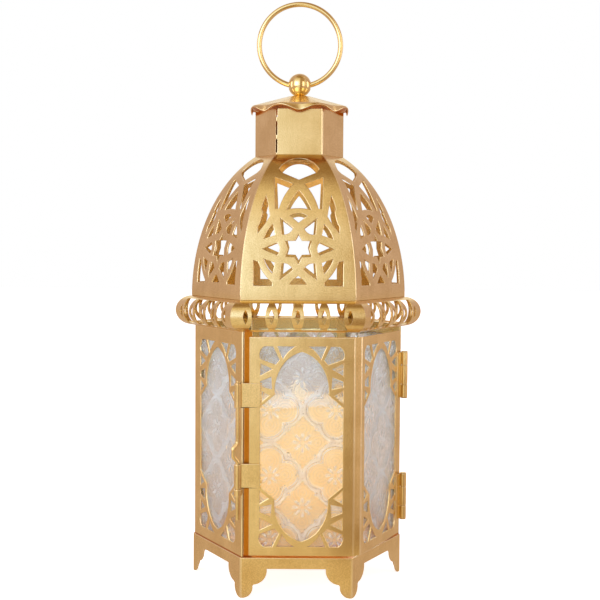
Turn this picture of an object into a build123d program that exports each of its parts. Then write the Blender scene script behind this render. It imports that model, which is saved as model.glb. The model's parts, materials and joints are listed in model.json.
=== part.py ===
from build123d import *
import math
import os

# Hexagonal sheet metal lantern, in millimetres. +Z is up, the floor is Z = 0 on the lantern's axis,
# and the latched face looks along -Y. A face is drawn at the front and turned about Z in sixths.

# Sheet and clearances
sheet = 0.6
seat_gap = 0.05
run_gap = 0.3
pin_gap = 0.06

# Base pan and its scroll feet
base_radius = 48.0
base_height = 17.5
arch_height = 12.6
toe_width = 1.4
low_lobe_width = 5.3
low_lobe_height = 5.2
lobe_step = 0.6
high_lobe_width = 11.4
lobe_bulge = 0.21

# Walls
base_ledge = 0.7
wall_height = 96.8
return_edge = 0.8
return_depth = 2.5
return_lap = 1.4

# Door
door_foot_gap = 0.6
door_head_gap = 2.1
door_free_gap = 3.15
door_hinge_gap = 0.35
door_fold_width = 4.0
door_splay = 3.0
hinge_window_shift = 0.8

# Window ornament, the same on every face
window_stile = 6.05
window_border = 4.1
shoulder_share = 0.396

# Panes and the tabs that hold them
glass_thickness = 2.0
glass_side_lap = 1.6
glass_end_lap = 1.7
clip_width = 5.0
clip_reach = 2.4
clip_inset = 16.0

# Half-round belt between the walls and the dome
band_height = 13.3
band_flange = 2.6
eye_count = 5
eye_end_margin = 6.24
eye_width = 2.1
eye_height = 6.1
strip_waist = 5.3
strip_end = 2.4
window_lip = 1.1

# Dome
dome_overhang = 1.6
dome_rise = 63.2
gore_side_margin = 9.35
gore_foot_margin = 6.3
gore_crown_margin = 1.8

# Neck
neck_radius = 20.25
neck_height = 20.2
seam_gap = 0.8
seam_slit = 5.9
seam_tack = 1.9
seam_count = 3
bridge_width = 6.4
bridge_sheet = 0.8
bridge_tab = 7.0
bridge_rim = 0.4

# Roof cap, an eight-lobed umbrella
cap_lobes = 8
cap_air = 2.6
cap_top_radius = 4.6
cap_eave = 1.86
cap_slope = 0.31
cap_bend_out = 1.9
cap_bend_drop = 1.0
cap_crease_out = 1.4
cap_crease_drop = 0.45
cap_lip_out = 0.65
cap_lip_drop = 2.5
cap_arch_out = 0.5
cap_arch_drop = 0.65
cap_skin_in = 0.45
cap_skin_down = 0.55

# Finial and carry ring
ball_radius = 5.25
ball_seat_cut = 0.2
ring_radius = 18.4
ring_wire = 2.3
ring_hole_gap = 0.6
ring_rest_gap = 0.15
ring_end_gap = 0.5
screw_radius = 1.5
screw_bite = 2.2
screw_head_radius = 2.8
screw_head_height = 1.8
washer_radius = 3.2
washer_thickness = 0.5

# Hinges
hinge_length = 20.9
hinge_low_lift = 7.5
hinge_high_drop = 12.1
pin_radius = 0.9
pin_head = 0.35
leaf_width = 5.2
leaf_start = 0.7
knuckle_gap = 0.18
middle_knuckle = 8.6

# Latch
bolt_radius = 0.9
strap_height = 10.5
strap_length = 8.0
barrel_wall = 0.45
bolt_gap = 0.2
latch_low_lift = 30.0
latch_span = 34.5
bolt_tail = 13.5
bolt_tip = 1.0
bolt_side = 1.55
grip_reach = 2.1
grip_run = 2.4
grip_flat = 3.4
grip_bend = 1.7
keeper_height = 2.8
keeper_drop = 0.3
keeper_wall = 0.6

# Candle light
candle_radius = 25.0
candle_crown = 11.4
candle_wall = 4.0
candle_dish_depth = 3.0
flame_radius = 3.4
flame_height = 13.0
flame_stem_radius = 2.6
flame_belly_share = 0.3
flame_neck_share = 0.7
flame_neck_radius = 1.87
core_wall = 1.6
core_headroom = 3.9
cover_thickness = 1.6
battery_radius = 5.25
battery_height = 44.5
battery_spread = 7.0

# Heights and radii that follow
COS30 = math.cos(math.radians(30))
TAN30 = math.tan(math.radians(30))
body_radius = base_radius - base_ledge
body_apothem = body_radius * COS30
wall_top = base_height + wall_height
door_low = base_height + door_foot_gap
door_high = wall_top - door_head_gap
panel_mid = (door_low + door_high) / 2
window_half_height = (door_high - door_low) / 2 - window_border
window_half_width = body_radius / 2 - window_stile
glass_half_width = window_half_width + glass_side_lap
dome_low = wall_top + band_height
dome_radius = body_radius + dome_overhang
dome_apothem = dome_radius * COS30
dome_high = dome_low + dome_rise
neck_apothem = neck_radius * COS30
neck_top = dome_high + neck_height
cap_facet_apothem = neck_apothem + cap_eave
cap_facet_z = neck_top + cap_air
cap_top_apothem = cap_top_radius * math.cos(math.pi / cap_lobes)
cap_top = cap_facet_z + cap_slope * (cap_facet_apothem - cap_top_apothem)
bridge_half_flat = washer_radius + bridge_rim
bridge_corner = (bridge_width / 2 + bridge_half_flat + bridge_sheet) * math.cos(math.pi / 4)
bridge_crest = cap_top - cap_skin_down - cap_slope * (bridge_corner - cap_top_apothem)
ball_z = cap_top + ball_radius - ball_seat_cut
ring_hole_radius = ring_wire / 2 + ring_hole_gap
ring_sag = ring_hole_gap - ring_rest_gap
barrel_radius = pin_radius + sheet
hinge_x = body_radius + barrel_radius / COS30
latch_barrel = bolt_radius + bolt_gap + barrel_wall
bolt_x = -body_radius / 2 - bolt_side
bolt_y = -body_apothem - latch_barrel
core_height = battery_height + core_headroom + core_wall
candle_height = cover_thickness + core_height + candle_crown
far = 2 * base_radius
low_centre = (Align.CENTER, Align.CENTER, Align.MIN)


def turned(shape, sixths):
    """A front piece turned about the axis by sixths of a turn."""
    return Rot(0, 0, 60 * sixths) * shape


def swung(shape, angle):
    """A shape swung about the hinge axis."""
    return Pos(hinge_x, 0, 0) * Rot(0, 0, angle) * Pos(-hinge_x, 0, 0) * shape


def hinge_side(shape):
    """A front piece moved to the hinge side of the door, which stands a little out from the wall's hexagon."""
    return swung(turned(shape, 1), door_splay)


def outline(start, *moves):
    """Closed face from a start point; a move is a point, or a (through, end) pair for an arc."""
    edges = []
    here = start
    for move in moves:
        if isinstance(move[0], tuple):
            edges.append(ThreePointArc(here, move[0], move[1]))
            here = move[1]
        else:
            edges.append(Line(here, move))
            here = move
    edges.append(Line(here, start))
    return make_face(edges)


def both_sides(face):
    """A face and its mirror image across the vertical centre line."""
    return [face, mirror(face, about=Plane.YZ)]


def front_cut(faces, near, x_shift=0.0, z_shift=0.0):
    """Prisms that cut faces, drawn in elevation, through the front of the lantern beyond near."""
    return [extrude(Pos(x_shift, -near, z_shift) * (Plane.XZ * face), amount=far) for face in faces]


def hexagon_prism(circumradius, low, high):
    return extrude(Pos(0, 0, low) * RegularPolygon(circumradius, 6), amount=high - low)


def hexagon_tube(circumradius, low, high):
    inner = circumradius - sheet / COS30
    return hexagon_prism(circumradius, low, high) - hexagon_prism(inner, low, high)


def front_sector(low, high):
    """The sixth of space that holds the front face."""
    wedge = Polygon((0, 0), (-far * TAN30, -far), (far * TAN30, -far), align=None)
    return extrude(Pos(0, 0, low) * wedge, amount=high - low)


def make_base_pan():
    pan = hexagon_prism(base_radius, 0, base_height)
    pan -= hexagon_prism(base_radius - sheet / COS30, 0, base_height - sheet)
    corner = base_radius / 2
    toe = (corner - toe_width, 0)
    low_lobe = (corner - low_lobe_width, low_lobe_height)
    step = (corner - low_lobe_width - lobe_step, low_lobe_height + lobe_step)
    high_lobe = (corner - high_lobe_width, arch_height)
    low_chord = math.dist(toe, low_lobe)
    high_chord = math.dist(step, high_lobe)
    edges = [
        Line((0, 0), toe),
        SagittaArc(toe, low_lobe, lobe_bulge * low_chord),
        Line(low_lobe, step),
        SagittaArc(step, high_lobe, lobe_bulge * high_chord),
        Line(high_lobe, (0, arch_height)),
        Line((0, arch_height), (0, 0)),
    ]
    half_arch = make_face(edges)
    arch = [extrude(Plane.XZ * face, amount=far, both=True) for face in both_sides(half_arch)]
    for sixth in range(3):
        pan -= [turned(cut, sixth) for cut in arch]
    return pan


def window_faces():
    """Keel-arched window with its spandrel cells, drawn about the panel's middle in shares of its half sizes."""
    def at(x_share, z_share):
        return (x_share * window_half_width, z_share * window_half_height)

    half_window = outline(
        at(0, 0), at(1, 0), at(1, shoulder_share), at(0.645, 0.52),
        (at(0.59, 0.706), at(0.36, 0.8625)), (at(0.187, 0.914), at(0, 0.946)),
    )
    cells = [
        outline(at(0.59, 1), at(0.17, 1), (at(0.34, 0.945), at(0.46, 0.875))),
        outline(at(1, 0.875), (at(0.985, 0.965), at(0.9, 1)), at(0.7, 1), at(0.54, 0.865), at(0.635, 0.82)),
        outline(at(1, 0.83), at(0.72, 0.776), at(1, 0.713)),
        outline(at(1, 0.653), at(0.736, 0.697), at(0.72, 0.578), at(1, 0.6)),
        outline(at(1, 0.565), at(0.793, 0.513), at(1, 0.44)),
    ]
    quarter = [half_window] + cells
    half = quarter + [mirror(face, about=Plane.XZ) for face in quarter]
    return [side for face in half for side in both_sides(face)]


def window_cuts(x_shift=0.0):
    return front_cut(window_faces(), body_apothem / 2, x_shift, panel_mid)


def make_body_wall():
    wall = hexagon_tube(body_radius, base_height, wall_top)
    low_corner = (Align.MIN, Align.MIN, Align.MIN)
    door_way = Pos(-body_radius / 2, -far, base_height) * Box(far * 2, far, wall_height, align=low_corner)
    wall -= door_way
    fold_x = -body_radius / 2 - sheet / 2
    web = Pos(fold_x, -body_apothem, base_height) * Box(
        return_edge + sheet / 2, return_depth, wall_height, align=low_corner)
    lip = Pos(fold_x, -body_apothem + return_depth - sheet, base_height) * Box(
        door_free_gap + return_lap + sheet / 2, sheet, wall_height, align=low_corner)
    wall += (web + lip) & hexagon_prism(body_radius, base_height, wall_top)
    for sixth in range(2, 6):
        wall -= [turned(cut, sixth) for cut in window_cuts()]
    return wall


def make_door_frame():
    """Door sheet with its front and hinge side joined by a narrow fold, and the shift of the front window."""
    inside = Pos(0, -body_apothem) * Rectangle(2 * far, far, align=(Align.CENTER, Align.MIN))
    plan = inside & hinge_side(inside)
    corner = plan.vertices().sort_by_distance((body_radius / 2, -body_apothem))[0]
    half_bend = math.radians((60 + door_splay) / 2)
    plan = chamfer(corner, length=door_fold_width / 2 / math.cos(half_bend))
    ring = plan - offset(plan, -sheet, kind=Kind.INTERSECTION)
    free_edge = -body_radius / 2 + door_free_gap
    keep = Pos(free_edge, -door_hinge_gap) * Rectangle(far, far, align=(Align.MIN, Align.MAX))
    frame = extrude(Pos(0, 0, door_low) * (ring & keep), amount=door_high - door_low)
    fold_edge = plan.edges().sort_by(Axis.Y)[0].bounding_box().max.X
    front_shift = (free_edge + fold_edge) / 2
    frame -= window_cuts(front_shift)
    frame -= [hinge_side(cut) for cut in window_cuts(hinge_window_shift)]
    return frame, front_shift


def make_glass(x_shift=0.0):
    half_height = window_half_height + glass_end_lap
    pane = Box(2 * glass_half_width, glass_thickness, 2 * half_height)
    inner_face = body_apothem - sheet - seat_gap
    return Pos(x_shift, -inner_face + glass_thickness / 2, panel_mid) * pane


def make_clips(x_shift=0.0):
    """Four bent tabs behind one pane, welded to the sheet beside it."""
    inner_face = body_apothem - sheet
    depth = glass_thickness + 3 * seat_gap + sheet
    upright = Pos(glass_half_width + seat_gap, -inner_face, 0) * Box(
        sheet, depth, clip_width, align=(Align.MIN, Align.MIN, Align.CENTER))
    finger = Pos(glass_half_width + seat_gap + sheet, -inner_face + depth, 0) * Box(
        clip_reach, sheet, clip_width, align=(Align.MAX, Align.MAX, Align.CENTER))
    clip = upright + finger
    lift = window_half_height - clip_inset
    pair = [Pos(0, 0, side * lift) * clip for side in (-1, 1)]
    tabs = pair + [mirror(tab, about=Plane.YZ) for tab in pair]
    return [Pos(x_shift, 0, panel_mid) * tab for tab in tabs]


def make_band_segment():
    radius = band_height / 2
    mid = wall_top + radius
    apothem = dome_apothem - sheet / 2
    section = outline(
        (-apothem + band_flange, wall_top), (-apothem, wall_top),
        ((-apothem - radius, mid), (-apothem, dome_low)),
        (-apothem + band_flange, dome_low), (-apothem + band_flange, dome_low - sheet),
        (-apothem, dome_low - sheet),
        ((-apothem - radius + sheet, mid), (-apothem, wall_top + sheet)),
        (-apothem + band_flange, wall_top + sheet),
    )
    bar = extrude(Plane.YZ * section, amount=far / 2, both=True)
    bar &= front_sector(wall_top, dome_low)
    half_height = radius - window_lip
    first = eye_end_margin - (apothem + radius) * TAN30
    eye_pitch = -2 * first / (eye_count - 1)
    left = strip_waist / 2
    right = eye_pitch - strip_waist / 2
    gap = outline(
        (strip_end / 2, -half_height), ((left, 0), (strip_end / 2, half_height)),
        (eye_pitch - strip_end / 2, half_height), ((right, 0), (eye_pitch - strip_end / 2, -half_height)),
    )
    eye = outline((0, -eye_height / 2), ((eye_width / 2, 0), (0, eye_height / 2)),
                  ((-eye_width / 2, 0), (0, -eye_height / 2 + seat_gap)))
    eyes = [Pos(first + n * eye_pitch, 0) * eye for n in range(eye_count)]
    gaps = [Pos(first + n * eye_pitch, 0) * gap for n in range(eye_count - 1)]
    bar -= front_cut(eyes + gaps, apothem + sheet / 2, 0, mid)
    return bar


def gore_faces():
    """Rosette ornament of one gore, drawn about the rosette's middle in shares of its half sizes."""
    low_share = 1.026
    high_share = 2.62
    half_width = dome_radius / 2 - gore_side_margin
    half_height = (dome_rise - gore_foot_margin - gore_crown_margin) / (low_share + high_share)

    def at(x_share, z_share):
        return (x_share * half_width, z_share * half_height)

    star = outline(
        at(0, 0.404), at(0.099, 0.225), at(0.358, 0.216), at(0.298, 0), at(0.358, -0.216), at(0.099, -0.225),
        at(0, -0.404), at(-0.099, -0.225), at(-0.358, -0.216), at(-0.298, 0), at(-0.358, 0.216),
        at(-0.099, 0.225),
    )
    middle = [
        star,
        outline(at(-0.236, 0.927), (at(0, 1), at(0.236, 0.927)), at(0.11, 0.828), at(0, 0.738), at(-0.11, 0.828)),
        outline(at(-0.236, -0.993), at(0.236, -0.993), at(0.119, -0.848), at(0, -0.752), at(-0.119, -0.848)),
        outline(at(0, 1.656), (at(0.199, 1.39), at(0.336, 1.113)), (at(0, 1.15), at(-0.336, 1.113)),
                (at(-0.199, 1.39), at(-0.002, 1.656))),
        outline(at(-0.577, 2.285), (at(0, high_share), at(0.577, 2.285)), at(0.493, 2.185), at(0, 1.974),
                at(-0.493, 2.185)),
    ]
    tip = outline(at(0.507, 0.851), at(0.162, 0.589), (at(0.252, 0.457), at(0.47, 0.411)))
    segment = outline(at(0.728, 0.679), (at(0.874, 0.493), at(0.967, 0.278)), at(0.656, 0.387))
    one_side = [
        tip, mirror(tip, about=Plane.XZ), segment, mirror(segment, about=Plane.XZ),
        outline(at(1, 0), at(0.603, 0.175), (at(0.53, 0), at(0.603, -0.175))),
        outline(at(1.25, -0.325), at(1.25, -low_share), at(0.735, -low_share), at(0.735, -0.94),
                (at(0.98, -0.669), at(1.139, -0.358))),
        outline(at(0.692, 2.046), at(0.166, 1.848), (at(0.417, 1.497), at(0.563, 1.132)), at(0.662, 1.126)),
        outline(at(0.927, 1.49), at(1, 1.305), at(1.046, 1.126), at(1.007, 1.06), at(1.026, 0.947),
                at(1.063, 0.795), at(1.086, 0.709), at(1.146, 0.623), at(1.139, 0.457), at(0.94, 0.709),
                at(0.815, 0.914), at(0.874, 1.272)),
    ]
    middle_lift = gore_foot_margin + low_share * half_height
    return middle + [side for face in one_side for side in both_sides(face)], middle_lift


def make_gore():
    """One gore, bent along an ellipse that stands upright at the foot and meets the neck at the crown."""
    apex = dome_rise / math.sqrt(1 - (neck_radius / dome_radius) ** 2)
    skin = Ellipse(dome_apothem, apex) - Ellipse(dome_apothem - sheet, apex - sheet)
    skin &= Rectangle(dome_apothem, dome_rise, align=(Align.MAX, Align.MIN))
    gore = extrude(Plane.YZ * (Pos(0, dome_low) * skin), amount=far / 2, both=True)
    gore &= front_sector(dome_low, dome_high)
    faces, middle_lift = gore_faces()
    gore -= front_cut(faces, neck_apothem / 2, 0, dome_low + middle_lift)
    return gore


def make_neck_tube():
    tube = hexagon_tube(neck_radius, dome_high, neck_top)
    for n in range(seam_count):
        low = dome_high + seam_gap + n * (seam_slit + seam_tack)
        slit = Pos(neck_radius, 0, low) * Box(4 * sheet, seam_gap, seam_slit,
                                              align=(Align.CENTER, Align.CENTER, Align.MIN))
        tube -= Rot(0, 0, -120) * slit
    return tube


def make_neck_bridge():
    """Hat-shaped strap that carries the roof cap on the neck."""
    tab_y = neck_apothem - sheet - seat_gap
    side_y = tab_y - bridge_sheet / 2
    flat_z = bridge_crest - bridge_sheet / 2
    line = Polyline(
        (-side_y, neck_top - bridge_tab), (-side_y, neck_top - bridge_sheet), (-bridge_half_flat, flat_z),
        (bridge_half_flat, flat_z), (side_y, neck_top - bridge_sheet), (side_y, neck_top - bridge_tab),
    )
    section = trace(line, bridge_sheet)
    strap = extrude(Plane.YZ * section, amount=bridge_width / 2, both=True)
    hole = Pos(0, 0, bridge_crest) * Cylinder(screw_radius + pin_gap, 4 * bridge_sheet)
    return strap - hole


def cap_ring(apothem, crease_radius, lobe_z, crease_z, shrink, drop):
    """Eight wavy edges of the cap, each from crease to crease over one lobe."""
    half = math.pi / cap_lobes
    edges = []
    for n in range(cap_lobes):
        middle = 2 * math.pi * n / cap_lobes
        ends = []
        tangents = []
        for side in (-1, 1):
            angle = middle + side * half
            radius = crease_radius - shrink
            ends.append(Vector(radius * math.cos(angle), radius * math.sin(angle), crease_z - drop))
            tangents.append(Vector(-math.sin(angle), math.cos(angle), 0))
        lobe = Vector((apothem - shrink) * math.cos(middle), (apothem - shrink) * math.sin(middle), lobe_z - drop)
        edges.append(Spline(ends[0], lobe, ends[1], tangents=tangents))
    return edges


def cap_octagon(apothem, z, shrink, drop):
    radius = (apothem - shrink) / math.cos(math.pi / cap_lobes)
    points = []
    for n in range(cap_lobes + 1):
        angle = 2 * math.pi * (n - 0.5) / cap_lobes
        points.append(Vector(radius * math.cos(angle), radius * math.sin(angle), z - drop))
    return [Line(points[n], points[n + 1]) for n in range(cap_lobes)]


def make_roof_cap():
    half_cos = math.cos(math.pi / cap_lobes)
    facet_corner = cap_facet_apothem / half_cos
    skins = []
    for shrink, drop in ((0, 0), (cap_skin_in, cap_skin_down)):
        top = cap_octagon(cap_top_apothem, cap_top, 0, drop)
        facet = cap_octagon(cap_facet_apothem, cap_facet_z, shrink, drop)
        bend = cap_ring(cap_facet_apothem + cap_bend_out, facet_corner + cap_crease_out,
                        cap_facet_z - cap_bend_drop, cap_facet_z - cap_crease_drop, shrink, drop)
        rim = cap_ring(cap_facet_apothem + cap_bend_out + cap_lip_out, facet_corner + cap_crease_out + cap_arch_out,
                       cap_facet_z - cap_bend_drop - cap_lip_drop,
                       cap_facet_z - cap_crease_drop - cap_arch_drop, shrink, drop)
        skins.append((top, facet, bend, rim))
    faces = []
    for top, facet, bend, rim in skins:
        faces.append(Face(Wire(top)))
        for n in range(cap_lobes):
            faces.append(Face.make_surface_from_curves(edge1=top[n], edge2=facet[n]))
            faces.append(Face.make_surface_from_curves(edge1=facet[n], edge2=bend[n]))
            faces.append(Face.make_surface_from_curves(edge1=bend[n], edge2=rim[n]))
    outer_rim = skins[0][3]
    inner_rim = skins[1][3]
    for n in range(cap_lobes):
        faces.append(Face.make_surface_from_curves(edge1=outer_rim[n], edge2=inner_rim[n]))
    cap = Solid(Shell(faces))
    hole = Pos(0, 0, cap_top) * Cylinder(screw_radius + pin_gap, 4 * cap_skin_down)
    return Rot(0, 0, -90) * (cap - hole)


def make_finial():
    ball = Pos(0, 0, ball_z) * Sphere(ball_radius)
    ball -= Pos(0, 0, ball_z) * Rot(0, 90, 0) * Cylinder(ring_hole_radius, 4 * ball_radius)
    ball -= Pos(0, 0, cap_top) * Box(far, far, far, align=(Align.CENTER, Align.CENTER, Align.MAX))
    ball -= Pos(0, 0, cap_top) * Cylinder(
        screw_radius + pin_gap, screw_bite + run_gap, align=(Align.CENTER, Align.CENTER, Align.MIN))
    washer_low = bridge_crest - bridge_sheet - washer_thickness
    washer = Pos(0, 0, washer_low) * (Cylinder(washer_radius, washer_thickness, align=low_centre)
                                      - Cylinder(screw_radius + pin_gap, washer_thickness, align=low_centre))
    screw = Pos(0, 0, washer_low) * Cylinder(screw_radius, cap_top + screw_bite - washer_low, align=low_centre)
    head = Pos(0, 0, washer_low - screw_head_height) * Cylinder(
        screw_head_radius, screw_head_height, align=low_centre)
    slot = Pos(0, 0, washer_low - screw_head_height) * Box(
        far, sheet, screw_head_height, align=(Align.CENTER, Align.CENTER, Align.CENTER))
    return ball, screw + (head - slot), washer


def make_carry_ring():
    ring = Rot(90, 0, 0) * Torus(ring_radius, ring_wire / 2)
    lift = ring_radius - ring_sag
    split = Pos(0, 0, -ring_radius) * Box(ring_end_gap, 2 * ring_wire, 2 * ring_wire)
    return Pos(0, 0, ball_z + lift) * (ring - split)


def hinge_leaf_plan(side):
    """Plan of a leaf on the face beside the hinge corner; side -1 is the door, +1 the wall."""
    along = Vector(-0.5, side * COS30)
    out = Vector(COS30, side * 0.5)
    corner = Vector(body_radius, 0)
    swing = door_splay if side < 0 else 0

    def at(s, n):
        return corner + along * s + out * n

    plate = Polygon(at(leaf_start, 0), at(leaf_start, sheet), at(leaf_width, sheet), at(leaf_width, 0), align=None)
    pin_s = -barrel_radius * TAN30
    web = Polygon(at(pin_s, 0), at(pin_s, sheet), at(leaf_start, sheet), at(leaf_start, 0), align=None)
    return [swung(plan, swing) for plan in (plate, web)]


def make_hinge(low):
    """Door leaf, wall leaf and pin of one butt hinge whose foot is at height low."""
    outer_knuckle = (hinge_length - middle_knuckle) / 2 - knuckle_gap
    spans = {
        -1: [(low + outer_knuckle + knuckle_gap, middle_knuckle)],
        1: [(low, outer_knuckle), (low + hinge_length - outer_knuckle, outer_knuckle)],
    }
    leaves = {}
    for side, knuckles in spans.items():
        plate, web = hinge_leaf_plan(side)
        leaf = extrude(Pos(0, 0, low) * plate, amount=hinge_length, dir=(0, 0, 1))
        for z, height in knuckles:
            leaf += extrude(Pos(0, 0, z) * web, amount=height, dir=(0, 0, 1))
            leaf += Pos(hinge_x, 0, z) * Cylinder(barrel_radius, height, align=low_centre)
        leaf -= Pos(hinge_x, 0, low) * Cylinder(pin_radius + pin_gap, hinge_length, align=low_centre)
        leaves[side] = leaf
    pin = Pos(hinge_x, 0, low - seat_gap) * Cylinder(pin_radius, hinge_length + 2 * seat_gap, align=low_centre)
    for z in (low - pin_head - seat_gap, low + hinge_length + seat_gap):
        pin += Pos(hinge_x, 0, z) * Cylinder(barrel_radius, pin_head, align=low_centre)
    return leaves[-1], leaves[1], pin


def make_latch_strap(low):
    """Flat strap on the door whose end is rolled round the bolt."""
    door_edge = -body_radius / 2 + door_free_gap
    strap_end = door_edge - door_free_gap + strap_length
    strap = Pos(bolt_x, -body_apothem, low) * Box(
        strap_end - bolt_x, sheet, strap_height, align=(Align.MIN, Align.MAX, Align.MIN))
    strap += Pos(bolt_x, bolt_y, low) * Cylinder(latch_barrel, strap_height, align=low_centre)
    strap -= Pos(bolt_x, bolt_y, low) * Cylinder(bolt_radius + bolt_gap, strap_height, align=low_centre)
    return strap


def make_latch_bolt(low_strap, high_strap):
    """Wire bolt with a bowed finger grip that rests on the lower barrel."""
    outward = Vector(-COS30, -0.5)
    side = Plane(origin=(bolt_x, bolt_y, 0), x_dir=outward, z_dir=(outward.Y, -outward.X, 0))
    half_turn = math.atan2(grip_reach, grip_run) / 2
    foot = low_strap + strap_height + run_gap + grip_bend * math.tan(half_turn)
    line = FilletPolyline(
        (0, low_strap - bolt_tail), (0, foot), (grip_reach, foot + grip_run),
        (grip_reach, foot + grip_run + grip_flat), (0, foot + 2 * grip_run + grip_flat),
        (0, high_strap + strap_height + bolt_tip), radius=grip_bend,
    )
    path = side * line
    return sweep(Plane(origin=path @ 0, z_dir=path % 0) * Circle(bolt_radius), path=path)


def make_latch_keeper(low_strap):
    """Eye on the wall, just under the lower strap, that the bolt drops through."""
    low = low_strap - keeper_drop - keeper_height
    eye_radius = bolt_radius + bolt_gap + keeper_wall
    reach = -bolt_x * COS30 - bolt_y / 2 - body_apothem
    stem = Rot(0, 0, 30) * Box(reach, 2 * eye_radius, keeper_height, align=(Align.MIN, Align.MIN, Align.MIN))
    keeper = Cylinder(eye_radius, keeper_height, align=low_centre) + stem
    keeper -= Cylinder(bolt_radius + bolt_gap, keeper_height, align=low_centre)
    return Pos(bolt_x, bolt_y, low) * keeper


def make_candle():
    """Wax pillar with a lamp inside: shell, flame, core, batteries and cover."""
    inner = candle_radius - candle_wall
    core_low = base_height + cover_thickness
    core_top = core_low + core_height
    shell = Pos(0, 0, base_height) * (
        Cylinder(candle_radius, candle_height, align=low_centre)
        - Cylinder(inner, core_top - base_height + seat_gap, align=low_centre)
        - Cylinder(flame_stem_radius + seat_gap, candle_height, align=low_centre))
    shell_top = base_height + candle_height
    dish_width = candle_radius - candle_wall / 2
    dish_radius = (dish_width ** 2 + candle_dish_depth ** 2) / (2 * candle_dish_depth)
    shell -= Pos(0, 0, shell_top + dish_radius - candle_dish_depth) * Sphere(dish_radius)
    core = Pos(0, 0, core_low) * Cylinder(inner - seat_gap, core_height, align=low_centre)
    core -= Pos(0, 0, core_low) * Cylinder(inner - seat_gap - core_wall, core_height - core_wall, align=low_centre)
    cover = Pos(0, 0, base_height) * Cylinder(inner - seat_gap, cover_thickness, align=low_centre)
    batteries = [Pos(side * battery_spread, 0, core_low) * Cylinder(battery_radius, battery_height, align=low_centre)
                 for side in (-1, 1)]
    stem_low = core_top
    flame_low = shell_top - candle_dish_depth + run_gap
    profile = outline(
        (0, stem_low), (flame_stem_radius, stem_low), (flame_stem_radius, flame_low),
        ((flame_radius, flame_low + flame_height * flame_belly_share),
         (flame_neck_radius, flame_low + flame_height * flame_neck_share)),
        (0, flame_low + flame_height),
    )
    flame = revolve(Plane.XZ * profile, axis=Axis.Z)
    return shell, flame, core, batteries, cover


face_names = ["front", "right_front", "right_back", "back", "left_back", "left_front"]
nodes = {}

nodes["base_pan"] = make_base_pan()
nodes["body_wall"] = make_body_wall()
door_frame, door_shift = make_door_frame()
nodes["door_frame"] = door_frame

pane = make_glass()
wall_clips = []
for sixth in range(2, 6):
    nodes["glass_" + face_names[sixth]] = turned(pane, sixth)
    wall_clips += [turned(tab, sixth) for tab in make_clips()]
nodes["wall_glass_clips"] = Compound(wall_clips)
nodes["glass_door_front"] = make_glass(door_shift)
nodes["glass_door_right"] = hinge_side(make_glass(hinge_window_shift))
door_clips = make_clips(door_shift) + [hinge_side(tab) for tab in make_clips(hinge_window_shift)]
nodes["door_glass_clips"] = Compound(door_clips)

band = make_band_segment()
gore = make_gore()
for sixth, name in enumerate(face_names):
    nodes["band_" + name] = turned(band, sixth)
    nodes["dome_" + name] = turned(gore, sixth)

nodes["neck_tube"] = make_neck_tube()
nodes["neck_bridge"] = make_neck_bridge()
nodes["roof_cap"] = make_roof_cap()
nodes["ball_finial"], nodes["finial_screw"], nodes["finial_washer"] = make_finial()
nodes["carry_ring"] = make_carry_ring()

hinge_lows = {"lower": base_height + hinge_low_lift, "upper": wall_top - hinge_high_drop - hinge_length}
for name, low in hinge_lows.items():
    door_leaf, wall_leaf, pin = make_hinge(low)
    nodes[name + "_hinge_door_leaf"] = door_leaf
    nodes[name + "_hinge_wall_leaf"] = wall_leaf
    nodes[name + "_hinge_pin"] = pin

latch_low = base_height + latch_low_lift
latch_high = latch_low + latch_span
nodes["latch_lower_strap"] = make_latch_strap(latch_low)
nodes["latch_upper_strap"] = make_latch_strap(latch_high)
nodes["latch_bolt"] = make_latch_bolt(latch_low, latch_high)
nodes["latch_keeper"] = make_latch_keeper(latch_low)

shell, flame, core, batteries, cover = make_candle()
nodes["candle_shell"] = shell
nodes["candle_flame"] = flame
nodes["candle_core"] = core
nodes["candle_batteries"] = Compound(batteries)
nodes["candle_battery_cover"] = cover

os.makedirs("parts", exist_ok=True)
for name, shape in nodes.items():
    export_step(shape, os.path.join("parts", name + ".step"))
print(len(nodes), "nodes, hinge axis x", round(hinge_x, 3), "ball centre z", round(ball_z, 3),
      "bolt axis", round(bolt_x, 3), round(bolt_y, 3), "ring top", round(ball_z + 2 * ring_radius - ring_sag, 3))
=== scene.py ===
import json
import math

import bmesh
import bpy
from mathutils import Matrix, Vector


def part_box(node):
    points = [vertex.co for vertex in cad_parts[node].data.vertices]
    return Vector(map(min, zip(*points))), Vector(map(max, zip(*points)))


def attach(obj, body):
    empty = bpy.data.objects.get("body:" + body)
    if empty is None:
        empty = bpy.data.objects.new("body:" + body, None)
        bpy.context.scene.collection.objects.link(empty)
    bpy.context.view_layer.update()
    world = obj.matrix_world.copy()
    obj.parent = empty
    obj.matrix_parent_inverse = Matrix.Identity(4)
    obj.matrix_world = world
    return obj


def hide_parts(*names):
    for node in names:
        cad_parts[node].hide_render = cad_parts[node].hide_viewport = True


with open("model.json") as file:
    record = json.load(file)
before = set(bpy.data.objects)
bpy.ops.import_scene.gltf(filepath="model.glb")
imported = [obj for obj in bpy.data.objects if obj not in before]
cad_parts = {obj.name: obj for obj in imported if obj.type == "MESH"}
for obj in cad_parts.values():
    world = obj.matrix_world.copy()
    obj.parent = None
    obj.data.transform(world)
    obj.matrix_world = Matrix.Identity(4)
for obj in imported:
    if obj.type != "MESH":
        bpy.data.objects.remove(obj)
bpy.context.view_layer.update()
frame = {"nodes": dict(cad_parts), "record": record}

# Gold-painted hexagonal lantern, in metres, in the frame of its solids: +Z up, latched face along -Y.
# A pair named EDGES says where something starts and where it is complete. A ROUGH value is a least
# roughness, and the SPREAD beside it is how far the grain raises it.

MM = 0.001
WHITE = (1.0, 1.0, 1.0, 1.0)

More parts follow.
